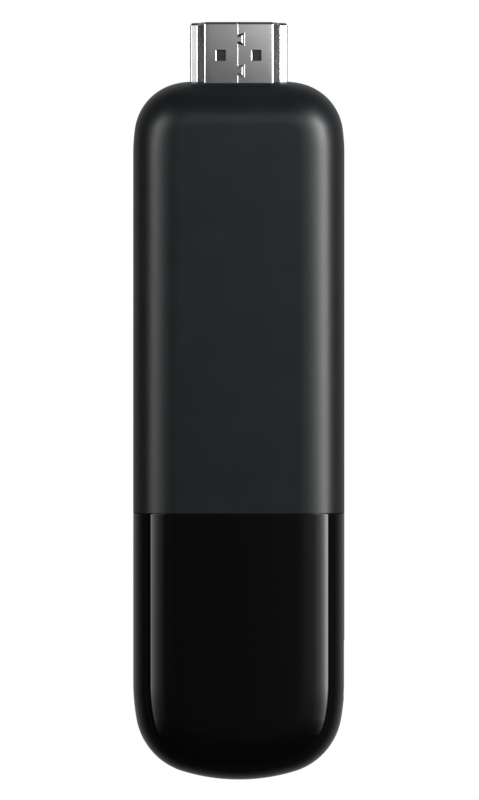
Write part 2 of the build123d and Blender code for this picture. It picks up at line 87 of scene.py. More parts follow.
# Tangent arcs of the outline from the tip to the top edge: radius and turn in degrees.
TIP_TURN = 17.0
BOTTOM_ARCS = [(9.5 * MM, 62.5), (29.1 * MM, 10.5)]
TOP_ARCS = [(25.9 * MM, 7.9), (7.65 * MM, 66.4), (10.05 * MM, 15.7)]
ARC_STEP = 1.6  # degrees between two outline points
SECTION_STEPS = 32  # points round a quarter of the edge
ROUNDING_STEPS = 4  # points round a small rounding
GLOSS_SIDE_ROWS, MATTE_SIDE_ROWS, WHOLE_SIDE_ROWS = 8, 12, 20

# ---- Plug ----------------------------------------------------------------------------------------
PLUG_WIDTH = 13.9 * MM
PLUG_HEIGHT = 4.45 * MM
PLUG_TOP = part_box("hdmi_shell")[1][2]
PLUG_ROOT = -7.4 * MM
PLUG_SHEET = 0.30 * MM
NARROW_HALF = 4.85 * MM  # half the narrow face
BEND_HALF = 5.85 * MM  # from the middle to the bend between the steep strip and the shoulder
STEEP_ANGLE = math.radians(61.0)
SHOULDER_ANGLE = math.radians(20.5)
FACE_BEND, INNER_BEND, SIDE_BEND, BACK_BEND = 0.36 * MM, 0.50 * MM, 0.40 * MM, 0.55 * MM  # outer radii
BEND_STEPS = 12


# ---- Mesh helpers --------------------------------------------------------------------------------
MERGE_DISTANCE = 1e-8


def new_object(name, data):
    """Puts a mesh, lamp or camera in the scene under the given name."""
    made = bpy.data.objects.new(name, data)
    bpy.context.scene.collection.objects.link(made)
    return made


def mesh_object(name, points, faces):
    """An object from points and faces, with outward normals.

    Points in one place are merged, and faces that have shrunk to an edge are left out.
    """
    mesh = bpy.data.meshes.new(name)
    work = bmesh.new()
    verts = [work.verts.new(p) for p in points]
    for face in faces:
        corners = [verts[i] for i in face]
        places = {tuple(round(c, 9) for c in corner.co) for corner in corners}
        if len(places) >= 3:
            work.faces.new(corners)
    bmesh.ops.remove_doubles(work, verts=work.verts, dist=MERGE_DISTANCE)
    bmesh.ops.recalc_face_normals(work, faces=work.faces)
    work.to_mesh(mesh)
    work.free()
    return new_object(name, mesh)


def cut(target, cutters):
    """Takes the cutters away from the target and removes them."""
    for cutter in cutters:
        step = target.modifiers.new("cut", "BOOLEAN")
        step.operation = "DIFFERENCE"
        step.solver = "EXACT"
        step.object = cutter
    evaluated = target.evaluated_get(bpy.context.evaluated_depsgraph_get())
    result = bpy.data.meshes.new_from_object(evaluated)
    target.modifiers.clear()
    target.data = result
    for cutter in cutters:
        bpy.data.objects.remove(cutter)


def smooth(target, angle):
    """Smooth shading with hard edges where two faces meet at more than the angle, in degrees."""
    for face in target.data.polygons:
        face.use_smooth = True
    target.data.set_sharp_from_angle(angle=math.radians(angle))


def prism(name, outline, axis, low, high):
    """A closed prism over a flat outline. The outline is drawn across the axis, 'X', 'Y' or 'Z'."""
    place = {
        "X": lambda a, b, c: (c, a, b),
        "Y": lambda a, b, c: (a, c, b),
        "Z": lambda a, b, c: (a, b, c),
    }[axis]
    count = len(outline)
    points = [place(a, b, low) for a, b in outline] + [place(a, b, high) for a, b in outline]
    faces = [tuple(range(count)), tuple(range(count, 2 * count))]
    faces += [(i, (i + 1) % count, count + (i + 1) % count, count + i) for i in range(count)]
    return mesh_object(name, points, faces)


def rounded_rectangle(centre, size, radius, steps=8):
    """Points of a rounded rectangle."""
    points = []
    for quarter in range(4):
        sign_a = (1, -1, -1, 1)[quarter]
        sign_b = (1, 1, -1, -1)[quarter]
        corner_a = centre[0] + sign_a * (size[0] / 2 - radius)
        corner_b = centre[1] + sign_b * (size[1] / 2 - radius)
        for step in range(steps + 1):
            angle = math.radians(90 * quarter + 90 * step / steps)
            points.append((corner_a + radius * math.cos(angle), corner_b + radius * math.sin(angle)))
    return points


# ---- The body's outline and section --------------------------------------------------------------
def reach(arcs, start):
    """How far a chain of arcs reaches towards the side, from a starting direction in degrees."""
    total, turned = 0.0, start
    for radius, turn in arcs:
        total += radius * (math.sin(math.radians(turned + turn)) - math.sin(math.radians(turned)))
        turned += turn
    return total


def arc_rows(centre, arcs, start):
    """Outline rows (x, z, normal angle) along a chain of tangent arcs, the angle measured from -Z."""
    rows, turned = [], start
    last_radius = None
    for radius, turn in arcs:
        normal = Vector((math.sin(math.radians(turned)), -math.cos(math.radians(turned))))
        if last_radius is not None:
            centre = centre + (last_radius - radius) * normal
        steps = max(2, math.ceil(turn / ARC_STEP))
        for step in range(1 if rows else 0, steps + 1):
            angle = math.radians(turned + turn * step / steps)
            x = centre[0] + radius * math.sin(angle)
            z = centre[1] - radius * math.cos(angle)
            rows.append((x, z, angle))
        turned += turn
        last_radius = radius
    return rows


TIP_RADIUS = (HALF_WIDTH - reach(BOTTOM_ARCS, TIP_TURN)) / math.sin(math.radians(TIP_TURN))
BOTTOM_ROWS = arc_rows(Vector((0, BODY_BOTTOM + TIP_RADIUS)), [(TIP_RADIUS, TIP_TURN)] + BOTTOM_ARCS, 0.0)
SIDE_LOW = BOTTOM_ROWS[-1][1]
SIDE_HIGH = BODY_TOP - reach(TOP_ARCS, 0.0)
TOP_ROWS = arc_rows(Vector((HALF_WIDTH - TOP_ARCS[0][0], SIDE_HIGH)), TOP_ARCS, 90.0)


def side_rows(z_low, z_high, count):
    """Rows along the straight side, without its ends."""
    return [(HALF_WIDTH, z_low + (z_high - z_low) * i / count, math.pi / 2) for i in range(1, count)]


def groove_rows(z_end, direction):
    """Rows that round the edge at the groove, and one more that keeps the flat's shading flat.

    Each row is (x, z, normal angle, how far the skin sinks in).
    """
    rows = []
    for step in range(ROUNDING_STEPS + 1):
        beta = math.radians(90 * step / ROUNDING_STEPS)
        z = z_end + direction * GROOVE_ROUNDING * (1 - math.cos(beta))
        rows.append((HALF_WIDTH, z, math.pi / 2, GROOVE_ROUNDING * (1 - math.sin(beta))))
    rows.append((HALF_WIDTH, z_end + direction * 2 * GROOVE_ROUNDING, math.pi / 2, 0.0))
    return rows


def with_sinks(rows):
    """The rows, each with a sink of zero where it has none of its own."""
    return [row if len(row) == 4 else (*row, 0.0) for row in rows]


def section(inset, wall, half_seam, rounding):
    """The cover's section from the flat on: the outer skin and the inner one, as (inset, depth, turn)."""
    band = HALF_THICKNESS - EDGE_RADIUS
    outer, inner = [], []
    for step in range(SECTION_STEPS + 1):
        angle = math.radians(90 * step / SECTION_STEPS)
        for skin, depth in ((outer, inset), (inner, inset + wall)):
            radius = EDGE_RADIUS - depth
            skin.append((EDGE_RADIUS - radius * math.sin(angle), band + radius * math.cos(angle), angle))
    steps = ROUNDING_STEPS if rounding else 0
    for step in range(steps + 1):
        angle = math.radians(90 * step / ROUNDING_STEPS)
        across = inset + rounding * (1 - math.cos(angle))
        depth = half_seam + rounding * (1 - math.sin(angle))
        outer.append((across, depth, math.pi / 2))
    inner.append((inset + wall, half_seam, math.pi / 2))
    return outer, inner


def shell(name, rows, skins, facing, capped):
    """A closed, thick cover, mirrored about X = 0.

    The rows run along half the outline, facing is -1 in front and 1 behind, and capped closes the first row.
    """
    outer, inner = skins
    loop = [(*p, True) for p in outer] + [(*p, False) for p in reversed(inner)]
    points, index = [], {}
    for side in (1, -1):
        for r, (x, z, angle, sink) in enumerate(with_sinks(rows)):
            for k, (inset, depth, turn, on_outside) in enumerate(loop):
                drop = sink if on_outside else 0.0
                into = inset + drop * math.sin(turn)
                y = depth - drop * math.cos(turn)
                index[side, r, k] = len(points)
                points.append((side * (x - math.sin(angle) * into), facing * y, z + math.cos(angle) * into))

    def face(*corners):
        """Adds a face between corners, each one (side, row, place in the loop)."""
        faces.append([index[corner] for corner in corners])

    last, ends = len(rows) - 1, len(loop) - 1
    faces = []
    for r in range(last):
        for k in range(ends):
            for side in (1, -1):
                face((side, r, k), (side, r + 1, k), (side, r + 1, k + 1), (side, r, k + 1))
        for k in (0, ends):
            face((1, r, k), (1, r + 1, k), (-1, r + 1, k), (-1, r, k))
    if rows[last][0] > 0:
        for k in range(ends):
            face((1, last, k), (-1, last, k), (-1, last, k + 1), (1, last, k + 1))
    if capped:
        for side in (1, -1):
            for k in range(SECTION_STEPS):
                face((side, 0, k), (side, 0, k + 1), (side, 0, ends - k - 1), (side, 0, ends - k))
            face(*[(side, 0, k) for k in range(SECTION_STEPS, ends - SECTION_STEPS + 1)])
        face((1, 0, 0), (-1, 0, 0), (-1, 0, ends), (1, 0, ends))
    return mesh_object(name, points, faces)


# ---- Plug section --------------------------------------------------------------------------------
def plug_corners():
    """The corners of the plug's D-shaped section and their bend radii, starting at the front's right."""
    front = -PLUG_HEIGHT / 2
    bend_y = front + (BEND_HALF - NARROW_HALF) * math.tan(STEEP_ANGLE)
    shoulder_y = bend_y + (PLUG_WIDTH / 2 - BEND_HALF) * math.tan(SHOULDER_ANGLE)
    right = [
        (NARROW_HALF, front, FACE_BEND),
        (BEND_HALF, bend_y, INNER_BEND),
        (PLUG_WIDTH / 2, shoulder_y, SIDE_BEND),
        (PLUG_WIDTH / 2, PLUG_HEIGHT / 2, BACK_BEND),
    ]
    return right + [(-x, y, radius) for x, y, radius in reversed(right)]


def rounded_path(corners, steps=8):
    """A closed path with its corners rounded: (x, y, outward normal x, outward normal y)."""
    path = []
    count = len(corners)
    for i, (x, y, radius) in enumerate(corners):
        here = Vector((x, y))
        before = (here - Vector(corners[i - 1][:2])).normalized()
        after = (Vector(corners[(i + 1) % count][:2]) - here).normalized()
        turn = math.atan2(before.x * after.y - before.y * after.x, before.dot(after))
        sign = 1 if turn > 0 else -1
        start = here - before * radius * math.tan(abs(turn) / 2)
        normal = Vector((before.y, -before.x))
        centre = start - normal * radius * sign
        for step in range(steps + 1):
            spin = turn * step / steps
            turned = Vector((
                normal.x * math.cos(spin) - normal.y * math.sin(spin),
                normal.x * math.sin(spin) + normal.y * math.cos(spin),
            ))
            point = centre + turned * radius * sign
            path.append((point.x, point.y, turned.x, turned.y))
    return path


def moved(path, distance):
    """The path's points moved along their normals."""
    return [(x + nx * distance, y + ny * distance) for x, y, nx, ny in path]


# ---- Covers --------------------------------------------------------------------------------------
def plug_cutter():
    """The hole that the plug comes out of."""
    outline = moved(rounded_path(plug_corners()), PLUG_CLEARANCE)
    return prism("plug_cutter", outline, "Z", BODY_TOP - PLUG_HOLE_DEPTH, BODY_TOP + SPARE)


def socket_cutter():
    """The hole in front of the power socket."""
    usb_low, usb_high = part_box("usb_shell")
    centre = (0.0, (usb_low[2] + usb_high[2]) / 2)
    outline = rounded_rectangle(centre, SOCKET_HOLE, SOCKET_HOLE_RADIUS)
    return prism("socket_cutter", outline, "X", usb_high[0] - SOCKET_HOLE_DEPTH, HALF_WIDTH + SPARE)


def label_cutter():
    """The label's recess."""
    low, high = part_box("rating_label")
    centre = ((low[0] + high[0]) / 2, (low[2] + high[2]) / 2)
    size = (high[0] - low[0] + LABEL_CLEARANCE, high[2] - low[2] + LABEL_CLEARANCE)
    outline = rounded_rectangle(centre, size, LABEL_RADIUS)
    return prism("label_cutter", outline, "Y", low[1], HALF_THICKNESS + SPARE)


def front_shell():
    """The matte front, from the groove over the top end."""
    rows = groove_rows(GLOSS_TOP, 1) + side_rows(GLOSS_TOP, SIDE_HIGH, MATTE_SIDE_ROWS) + TOP_ROWS
    made = shell("front_cover_shell", rows, section(0.0, WALL, MATING_GAP, EDGE_ROUNDING), -1, True)
    cut(made, [plug_cutter()])
    return made


def front_tray():
    """The tray that the glossy cover lies on."""
    start = GLOSS_TOP + TRAY_OVERLAP
    rows = [(HALF_WIDTH, start, math.pi / 2)]
    rows += side_rows(start, SIDE_LOW, GLOSS_SIDE_ROWS) + BOTTOM_ROWS[::-1]
    skins = section(TRAY_INSET, TRAY_WALL, MATING_GAP, 0.0)
    made = shell("front_cover_tray", rows, skins, -1, True)
    cut(made, [socket_cutter()])
    return made


def front_lip():
    """The ring inside the front half that goes into the rear half."""
    weld, outer = WALL - LIP_WELD, WALL + LIP_CLEARANCE
    profile = [
        (weld, LIP_ROOT),
        (weld, 2 * HALF_SEAM),
        (outer, 2 * HALF_SEAM),
        (outer, -LIP_HEIGHT),
        (outer + LIP_WALL, -LIP_HEIGHT),
        (outer + LIP_WALL, LIP_ROOT),
    ]
    right = BOTTOM_ROWS + side_rows(SIDE_LOW, SIDE_HIGH, WHOLE_SIDE_ROWS) + TOP_ROWS
    around = [(1, row) for row in right] + [(-1, row) for row in reversed(right[1:])]
    points, faces = [], []
    for side, (x, z, angle) in around:
        for inset, depth in profile:
            points.append((side * (x - math.sin(angle) * inset), -depth, z + math.cos(angle) * inset))
    count = len(profile)
    for i in range(len(around)):
        base, following = i * count, (i + 1) % len(around) * count
        for k in range(count):
            j = (k + 1) % count
            faces.append((base + k, base + j, following + j, following + k))
    made = mesh_object("front_cover_lip", points, faces)
    cut(made, [plug_cutter(), socket_cutter()])
    return made


def glossy_cover():
    """The glossy cap of the lower front."""
    start = GLOSS_TOP - GROOVE
    rows = groove_rows(start, -1) + side_rows(start, SIDE_LOW, GLOSS_SIDE_ROWS) + BOTTOM_ROWS[::-1]
    made = shell("gloss_cover_cap", rows, section(0.0, GLOSS_WALL, MATING_GAP, EDGE_ROUNDING), -1, True)
    cut(made, [socket_cutter()])
    return made


def rear_shell():
    """The matte rear half."""
    rows = BOTTOM_ROWS + side_rows(SIDE_LOW, SIDE_HIGH, WHOLE_SIDE_ROWS) + TOP_ROWS
    made = shell("rear_cover_shell", rows, section(0.0, WALL, MATING_GAP, EDGE_ROUNDING), 1, False)
    cut(made, [plug_cutter(), socket_cutter(), label_cutter()])
    return made


# ---- HDMI plug's shell ---------------------------------------------------------------------------
WINDOW_SIZE = (1.35 * MM, 1.55 * MM)
WINDOW_RADIUS = 0.10 * MM
WINDOW_DEPTH = 0.6 * MM
OTHER_ROLL = 0.3  # how wide the windows' other edges are rolled over, as a share of their left ones
WINDOW_X = 2.53 * MM
WINDOW_Z = 3.62 * MM
SEAM_X = -0.215 * MM  # the middle of the seam's gap
SEAM_HALF_GAP = 0.04 * MM
ROLL = 0.08 * MM  # width of an edge that punching has rolled over
ROLL_DEPTH = 0.05 * MM
SEAM_DEPTH = 0.16 * MM
CUT_ABOVE = 0.05 * MM  # how far the cutters stand out of the face
INTERLOCKS = [1.4 * MM, 5.9 * MM]  # the dovetails' middles
INTERLOCK_HALF = 0.71 * MM  # half the dovetail's height at its tip
INTERLOCK_NECK = 0.53 * MM  # half the dovetail's height at its root
INTERLOCK_ROOT = 0.10 * MM
INTERLOCK_HALF_GAP = 0.11 * MM
INTERLOCK_DEPTH = 0.26 * MM
INTERLOCK_TIP = 0.66 * MM
CROWN = 0.09 * MM  # how far the narrow face falls back towards its edges
MOUTH_FALL = 0.27 * MM  # and towards the mouth
MOUTH_LEAD_IN = 0.36 * MM  # the sheet's edge is turned in over this length
MOUTH_TURNED = 0.22 * MM
MOUTH_EDGE = 0.03 * MM
MOUTH_INNER_EDGE = 0.04 * MM
FRONT_FACE = -PLUG_HEIGHT / 2
FACE_DEPTH = 1.0 * MM  # the pressing reaches this far behind the front face
PLUG_GRID = 0.6 * MM  # longest step between two points round the plug
PLUG_LEVELS = 10  # steps along the plug


def crowned(x, y, z):
    """The narrow face is pressed very slightly round, and the mouth is drawn in a little."""
    if abs(x) > BEND_HALF or y > FRONT_FACE + FACE_DEPTH:
        return y
    share = min(1.0, (BEND_HALF - abs(x)) / (BEND_HALF - NARROW_HALF))
    across = CROWN * min(1.0, abs(x) / NARROW_HALF) ** 2
    along = MOUTH_FALL * max(0.0, z / PLUG_TOP) ** 2
    return y + share * (across + along)


def rolled(offset):
    """How far out the slope of a rolled edge has come at the cutter's top, from the offset at its foot."""
    return offset + ROLL * (1 + CUT_ABOVE / ROLL_DEPTH)


def seam_cutters():
    """The straight stretches of the seam: a narrow gap with its right edge rolled over."""
    gap_left, gap_right = SEAM_X - SEAM_HALF_GAP, SEAM_X + SEAM_HALF_GAP
    profile = [
        (gap_left, FRONT_FACE - CUT_ABOVE),
        (gap_left, FRONT_FACE + SEAM_DEPTH),
        (gap_right, FRONT_FACE + SEAM_DEPTH),
        (gap_right, FRONT_FACE + ROLL_DEPTH),
        (rolled(gap_right), FRONT_FACE - CUT_ABOVE),
    ]
    low, high = INTERLOCKS
    stretches = [
        (-SPARE, low - INTERLOCK_NECK),
        (low + INTERLOCK_NECK, high - INTERLOCK_NECK),
        (high + INTERLOCK_NECK, PLUG_TOP + SPARE),
    ]
    return [prism("seam_cutter", profile, "Z", *stretch) for stretch in stretches]


def mitred(path, offset):
    """A path in the X and Z directions moved sideways by the offset, its corners mitred."""
    result = []
    for i, point in enumerate(path):
        before = (point - path[max(i, 1) - 1]).normalized()
        after = (path[min(i + 1, len(path) - 1)] - point).normalized()
        before = before if i else after
        after = after if i + 1 < len(path) else before
        side = Vector((-before.y - after.y, before.x + after.x)).normalized()
        result.append(point + side * offset / side.dot(Vector((-before.y, before.x))))
    return result


def interlock_cutter(middle):
    """The groove round one dovetail, with both of its edges rolled over."""
    corners = [
        (SEAM_X, INTERLOCK_NECK),
        (INTERLOCK_ROOT, INTERLOCK_NECK),
        (INTERLOCK_TIP, INTERLOCK_HALF),
        (INTERLOCK_TIP, -INTERLOCK_HALF),
        (INTERLOCK_ROOT, -INTERLOCK_NECK),
        (SEAM_X, -INTERLOCK_NECK),
    ]
    path = [Vector((x, middle + z)) for x, z in corners]
    gap = INTERLOCK_HALF_GAP
    top = rolled(gap)
    profile = [
        (-top, -CUT_ABOVE),
        (-gap, ROLL_DEPTH),
        (-gap, INTERLOCK_DEPTH),
        (gap, INTERLOCK_DEPTH),
        (gap, ROLL_DEPTH),
        (top, -CUT_ABOVE),
    ]
    points, count = [], len(profile)
    lines = [mitred(path, offset) for offset, _ in profile]
    for i in range(len(path)):
        for line, (_, depth) in zip(lines, profile):
            points.append((line[i].x, FRONT_FACE + depth, line[i].y))
    faces = [tuple(range(count)), tuple(range(len(points) - count, len(points)))]
    for ring in range(len(path) - 1):
        for k in range(count):
            j = (k + 1) % count
            base = ring * count
            faces.append((base + k, base + j, base + count + j, base + count + k))
    return mesh_object("interlock_cutter", points, faces)


def window_cutter(x, face):
    """One latch window, its edges rolled over at the surface."""
    surface = face * PLUG_HEIGHT / 2
    rings = [(CUT_ABOVE, rolled(0)), (-ROLL_DEPTH, 0.0), (-WINDOW_DEPTH, 0.0)]
    points, faces = [], []
    for out, left in rings:
        others = OTHER_ROLL * left
        size = (WINDOW_SIZE[0] + left + others, WINDOW_SIZE[1] + 2 * others)
        centre = (x - (left - others) / 2, WINDOW_Z)
        outline = rounded_rectangle(centre, size, WINDOW_RADIUS + others, 4)
        points += [(a, surface + face * out, z) for a, z in outline]
    count = len(points) // len(rings)
    for ring in range(len(rings) - 1):
        base = ring * count
        for i in range(count):
            j = (i + 1) % count
            faces.append((base + i, base + j, base + count + j, base + count + i))
    faces.append(tuple(range(count)))
    faces.append(tuple(range(len(points) - count, len(points))))
    return mesh_object("window_cutter", points, faces)


def divided(path, longest):
    """The closed path with points added, so that no step is much longer than the given one."""
    result = []
    for i, here in enumerate(path):
        there = path[(i + 1) % len(path)]
        steps = max(1, round(math.hypot(there[0] - here[0], there[1] - here[1]) / longest))
        for step in range(steps):
            share = step / steps
            result.append(tuple(a + (b - a) * share for a, b in zip(here, there)))
    return result


def plug_shell():
    """The plug's folded metal shell."""
    path = divided(rounded_path(plug_corners(), BEND_STEPS), PLUG_GRID)
    straight = PLUG_TOP - MOUTH_LEAD_IN
    rings = [(PLUG_ROOT, 0.0)] + [(straight * step / PLUG_LEVELS, 0.0) for step in range(PLUG_LEVELS + 1)]
    rings += [
        (PLUG_TOP - MOUTH_EDGE, MOUTH_TURNED),
        (PLUG_TOP, MOUTH_TURNED + MOUTH_EDGE),
        (PLUG_TOP - MOUTH_INNER_EDGE, PLUG_SHEET),
        (0.0, PLUG_SHEET),
        (PLUG_ROOT, PLUG_SHEET),
    ]
    points, faces = [], []
    count = len(path)
    for z, inward in rings:
        points += [(x - nx * inward, y - ny * inward, z) for x, y, nx, ny in path]
    for ring in range(len(rings)):
        base, above = ring * count, ((ring + 1) % len(rings)) * count
        for i in range(count):
            j = (i + 1) % count
            faces.append((base + i, base + j, above + j, above + i))
    made = mesh_object("hdmi_plug_shell", points, faces)
    cutters = [window_cutter(x, face) for x in (-WINDOW_X, WINDOW_X) for face in (-1, 1)]
    cutters += seam_cutters() + [interlock_cutter(middle) for middle in INTERLOCKS]
    cut(made, cutters)
    for vertex in made.data.vertices:
        vertex.co.y = crowned(*vertex.co)
    return made


# ---- Materials -----------------------------------------------------------------------------------
NOISE_LOW, NOISE_HIGH = 0.25, 0.75  # noise seldom goes past these


def material(name):
    """A new node material, its nodes, links and main shader."""
    made = bpy.data.materials.new(name)
    made.use_nodes = True
    tree = made.node_tree
    shader = next(n for n in tree.nodes if n.type == "BSDF_PRINCIPLED")
    return made, tree, shader


def object_noise(tree, scale, detail, stretch=(1, 1, 1), seed=0.0):
    """Noise fixed to the object, its features about 1 / scale metres long."""
    place = tree.nodes.new("ShaderNodeTexCoord")
    mapping = tree.nodes.new("ShaderNodeMapping")
    mapping.inputs["Scale"].default_value = stretch
    mapping.inputs["Location"].default_value = (seed, seed * 0.7, seed * 1.3)
    noise = tree.nodes.new("ShaderNodeTexNoise")
    noise.inputs["Scale"].default_value = scale
    noise.inputs["Detail"].default_value = detail
    tree.links.new(place.outputs["Object"], mapping.inputs["Vector"])
    tree.links.new(mapping.outputs["Vector"], noise.inputs["Vector"])
    return noise.outputs["Fac"]


def ranged(tree, value, low, high):
    """Maps noise to a range."""
    node = tree.nodes.new("ShaderNodeMapRange")
    node.inputs["From Min"].default_value = NOISE_LOW
    node.inputs["From Max"].default_value = NOISE_HIGH
    node.inputs["To Min"].default_value = low
    node.inputs["To Max"].default_value = high
    tree.links.new(value, node.inputs["Value"])
    return node.outputs["Result"]


def tinted(tree, value, dark, light):
    """A colour between two, by noise."""
    ramp = tree.nodes.new("ShaderNodeValToRGB")
    ramp.color_ramp.elements[0].position = 0.3
    ramp.color_ramp.elements[0].color = (*dark, 1)
    ramp.color_ramp.elements[1].position = 0.7
    ramp.color_ramp.elements[1].color = (*light, 1)
    tree.links.new(value, ramp.inputs["Fac"])
    return ramp.outputs["Color"]


def bump(tree, value, distance, strength, shader):
    """Bump of the given height, in metres."""
    node = tree.nodes.new("ShaderNodeBump")
    node.inputs["Strength"].default_value = strength
    node.inputs["Distance"].default_value = distance
    tree.links.new(value, node.inputs["Height"])
    tree.links.new(node.outputs["Normal"], shader.inputs["Normal"])


def plastic(name, dark, light, grain, grain_height, rough):
    """Moulded plastic with a fine spark-eroded grain."""
    made, tree, shader = material(name)
    fine = object_noise(tree, grain, 3.0)
    broad = object_noise(tree, 260.0, 2.0, seed=3.1)
    tree.links.new(tinted(tree, broad, dark, light), shader.inputs["Base Color"])
    tree.links.new(ranged(tree, broad, rough[0], rough[1]), shader.inputs["Roughness"])
    bump(tree, fine, grain_height, 1.0, shader)
    return made


def metal(name, dark, light, rough, brush, height, stretch):
    """Plated sheet metal with fine rolling marks."""
    made, tree, shader = material(name)
    shader.inputs["Metallic"].default_value = 1.0
    marks = object_noise(tree, brush, 4.0, stretch=stretch)
    clouds = object_noise(tree, 300.0, 2.0, seed=2.3)
    tree.links.new(tinted(tree, clouds, dark, light), shader.inputs["Base Color"])
    tree.links.new(ranged(tree, marks, rough[0], rough[1]), shader.inputs["Roughness"])
    bump(tree, marks, height, 1.0, shader)
    return made


def matte_black():
    """The matte covers' plastic."""
    return plastic(
        "matte_black",
        dark=(0.0040, 0.0056, 0.0067),
        light=(0.0048, 0.0064, 0.0075),
        grain=6500.0,
        grain_height=3 * MICRON,
        rough=(0.35, 0.38),
    )


def gloss_black():
    """Polished black plastic with the faintest flow waves and a little fine dust."""
    made, tree, shader = material("gloss_black")
    waves = object_noise(tree, 90.0, 1.0, seed=1.7)
    dust = object_noise(tree, 5000.0, 1.0, seed=5.2)
    colour = tinted(tree, dust, (0.0018, 0.0020, 0.0021), (0.0022, 0.0024, 0.0025))
    tree.links.new(colour, shader.inputs["Base Color"])
    tree.links.new(ranged(tree, waves, 0.028, 0.040), shader.inputs["Roughness"])
    bump(tree, waves, 4 * MICRON, 0.25, shader)
    return made


def label_black():
    """The blank label's film."""
    return plastic(
        "label_black",
        dark=(0.030, 0.031, 0.032),
        light=(0.034, 0.035, 0.036),
        grain=9000.0,
        grain_height=2 * MICRON,
        rough=(0.33, 0.38),
    )


def adhesive():
    """The adhesive sheet under the glossy cover."""
    return plastic(
        "adhesive",
        dark=(0.02, 0.02, 0.02),
        light=(0.03, 0.03, 0.03),
        grain=2500.0,
        grain_height=3 * MICRON,
        rough=(0.6, 0.7),
    )


def nickel():
    """The plug's nickel-plated sheet."""
    return metal(
        "nickel",
        dark=(0.60, 0.60, 0.60),
        light=(0.66, 0.66, 0.66),
        rough=(0.20, 0.26),
        brush=1500.0,
        height=1 * MICRON,
        stretch=(1, 1, 14),
    )


def tin():
    """The socket's tinned sheet."""
    return metal(
        "tin",
        dark=(0.66, 0.66, 0.67),
        light=(0.72, 0.72, 0.73),
        rough=(0.26, 0.34),
        brush=1500.0,
        height=1.2 * MICRON,
        stretch=(14, 1, 1),
    )


def insulator_black():
    """The plastic that holds the contacts."""
    return plastic(
        "insulator_black",
        dark=(0.014, 0.014, 0.015),
        light=(0.018, 0.018, 0.019),
        grain=4000.0,
        grain_height=3 * MICRON,
        rough=(0.42, 0.5),
    )


def gold():
    """The contacts' gold plating."""
    return metal(
        "gold",
        dark=(0.83, 0.60, 0.25),
        light=(0.90, 0.68, 0.32),
        rough=(0.16, 0.24),
        brush=1500.0,
        height=1 * MICRON,
        stretch=(1, 1, 10),
    )


def solder_mask():
    """The circuit board's green solder mask."""
    return plastic(
        "solder_mask",
        dark=(0.010, 0.055, 0.030),
        light=(0.014, 0.070, 0.040),
        grain=1800.0,
        grain_height=4 * MICRON,
        rough=(0.25, 0.35),
    )


def chip_black():
    """The chips' moulding compound."""
    return plastic(
        "chip_black",
        dark=(0.022, 0.022, 0.023),
        light=(0.030, 0.030, 0.031),
        grain=7000.0,
        grain_height=3 * MICRON,
        rough=(0.5, 0.6),
    )


def ferrite_grey():
    """The inductors' ferrite."""
    return plastic(
        "ferrite_grey",
        dark=(0.08, 0.08, 0.085),
        light=(0.11, 0.11, 0.115),
        grain=5000.0,
        grain_height=4 * MICRON,
        rough=(0.55, 0.65),
    )


def ceramic_tan():
    """The capacitors' ceramic."""
    return plastic(
        "ceramic_tan",
        dark=(0.34, 0.22, 0.12),
        light=(0.42, 0.28, 0.16),
        grain=5000.0,
        grain_height=2 * MICRON,
        rough=(0.4, 0.5),
    )


def ceramic_black():
    """The resistors' dark coat."""
    return plastic(
        "ceramic_black",
        dark=(0.02, 0.02, 0.022),
        light=(0.03, 0.03, 0.032),
        grain=5000.0,
        grain_height=2 * MICRON,
        rough=(0.4, 0.5),
    )


def crystal_case():
    """The crystals' metal cans."""
    return metal(
        "crystal_case",
        dark=(0.62, 0.60, 0.55),
        light=(0.70, 0.68, 0.62),
        rough=(0.25, 0.32),
        brush=1500.0,
        height=1 * MICRON,
        stretch=(8, 1, 1),
    )


def tinned_sheet():
    """The shields' tinned sheet."""
    return metal(
        "tinned_sheet",
        dark=(0.60, 0.60, 0.59),
        light=(0.68, 0.68, 0.67),
        rough=(0.28, 0.36),
        brush=1200.0,
        height=1.5 * MICRON,
        stretch=(1, 1, 8),
    )


def silicone_pad():
    """The soft thermal pads."""
    return plastic(
        "silicone_pad",
        dark=(0.30, 0.34, 0.40),
        light=(0.36, 0.40, 0.46),
        grain=2500.0,
        grain_height=10 * MICRON,
        rough=(0.7, 0.8),
    )


def aluminium():
    """The heat spreaders' rolled aluminium."""
    return metal(
        "aluminium",
        dark=(0.75, 0.76, 0.77),
        light=(0.80, 0.81, 0.82),
        rough=(0.30, 0.38),
        brush=1200.0,
        height=1.5 * MICRON,
        stretch=(1, 1, 12),
    )


def antenna_brass():
    """The antennas' brass sheet."""
    return metal(
        "antenna_brass",
        dark=(0.66, 0.52, 0.28),
        light=(0.74, 0.60, 0.34),
        rough=(0.25, 0.33),
        brush=1200.0,
        height=1 * MICRON,
        stretch=(10, 1, 1),
    )


MATERIALS = {
    "matte_housing": matte_black(),
    "gloss_housing": gloss_black(),
    "label_film": label_black(),
    "adhesive_film": adhesive(),
    "plug_steel": nickel(),
    "socket_steel": tin(),
    "insulator_plastic": insulator_black(),
    "contact_gold": gold(),
    "board_laminate": solder_mask(),
    "chip_mould": chip_black(),
    "ferrite": ferrite_grey(),
    "ceramic_tan": ceramic_tan(),
    "ceramic_black": ceramic_black(),
    "crystal_case": crystal_case(),
    "shield_steel": tinned_sheet(),
    "thermal_pad": silicone_pad(),
    "spreader_aluminium": aluminium(),
    "antenna_sheet": antenna_brass(),
}


def dress(piece, slot):
    """Gives a piece the material of a slot."""
    piece.data.materials.clear()
    piece.data.materials.append(MATERIALS[slot])


# ---- Building ------------------------------------------------------------------------------------
for part in frame["record"]["subparts"]:
    dress(frame["nodes"][part["node"]], part["material_slot"])

